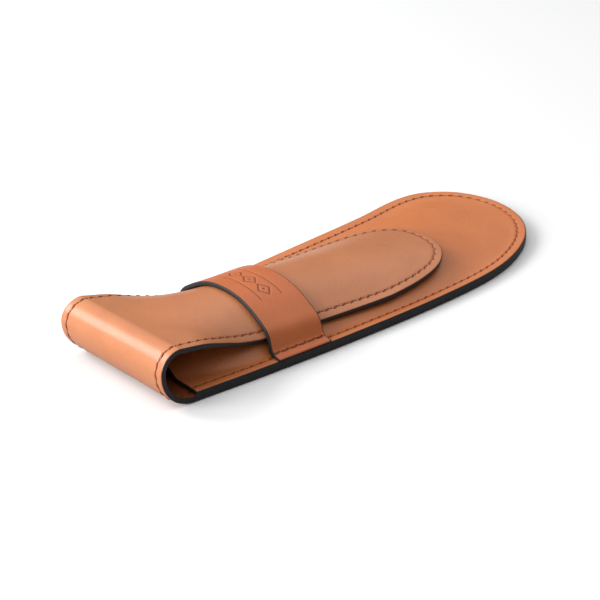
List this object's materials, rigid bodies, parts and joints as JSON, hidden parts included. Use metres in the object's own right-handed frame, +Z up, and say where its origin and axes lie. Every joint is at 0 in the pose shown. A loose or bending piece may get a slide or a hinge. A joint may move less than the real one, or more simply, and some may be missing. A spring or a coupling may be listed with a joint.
{
  "type": "leather slip case",
  "caption": "Slim tan leather slip case: back strip rolls over the pocket mouth and its rounded tongue tucks under a keeper band.",
  "frame": {"origin": "middle of the pocket mouth, on the plane of the underside", "axes": "+X from the mouth towards the toe along the case, +Z up out of the front, -Y the straighter long side"},
  "size_m": [0.1892, 0.0696, 0.0208],
  "materials": {
    "grain": "smooth vegetable-tanned grain, semi-matte, edges painted charcoal",
    "lining": "smooth lining leather, matte",
    "thread": "waxed thread, matched to the leather"
  },
  "bodies": {
    "case": {"back_outer": "grain", "back_lining": "lining", "front_panel": "grain", "keeper_band": "grain", "pocket_needle_thread": "thread", "pocket_bobbin_thread": "thread", "mouth_needle_thread": "thread", "mouth_bobbin_thread": "thread"},
    "fold_1": {"fold_1_outer": "grain", "fold_1_lining": "lining", "fold_1_needle_thread": "thread", "fold_1_bobbin_thread": "thread"},
    "fold_2": {"fold_2_outer": "grain", "fold_2_lining": "lining", "fold_2_needle_thread": "thread", "fold_2_bobbin_thread": "thread"},
    "fold_3": {"fold_3_outer": "grain", "fold_3_lining": "lining", "fold_3_needle_thread": "thread", "fold_3_bobbin_thread": "thread"},
    "fold_4": {"fold_4_outer": "grain", "fold_4_lining": "lining", "fold_4_needle_thread": "thread", "fold_4_bobbin_thread": "thread"},
    "flap": {"flap_outer": "grain", "flap_lining": "lining", "flap_needle_thread": "thread", "flap_bobbin_thread": "thread"}
  },
  "joints": [
    {"name": "flap_open", "type": "hinge", "parent": "case", "child": "fold_1", "pos_m": [-0.00397, 0, 0.00034], "axis": [0, -1, 0], "range_deg": [0, 20]},
    {"name": "fold_1_bend", "type": "hinge", "parent": "fold_1", "child": "fold_2", "pos_m": [-0.01018, 0, 0.0038], "axis": [0, -1, 0], "range_deg": [0, 30]},
    {"name": "fold_2_bend", "type": "hinge", "parent": "fold_2", "child": "fold_3", "pos_m": [-0.01365, 0, 0.01001], "axis": [0, -1, 0], "range_deg": [0, 30]},
    {"name": "fold_3_bend", "type": "hinge", "parent": "fold_3", "child": "fold_4", "pos_m": [-0.01286, 0, 0.01697], "axis": [0, -1, 0], "range_deg": [0, 40]},
    {"name": "fold_4_bend", "type": "hinge", "parent": "fold_4", "child": "flap", "pos_m": [-0.0069, 0, 0.02049], "axis": [0, -1, 0], "range_deg": [0, 30]}
  ],
  "couplings": [
    {"joint": "fold_1_bend", "follows": "flap_open", "ratio": 1.5},
    {"joint": "fold_2_bend", "follows": "flap_open", "ratio": 1.5},
    {"joint": "fold_3_bend", "follows": "flap_open", "ratio": 2},
    {"joint": "fold_4_bend", "follows": "flap_open", "ratio": 1.5}
  ]
}
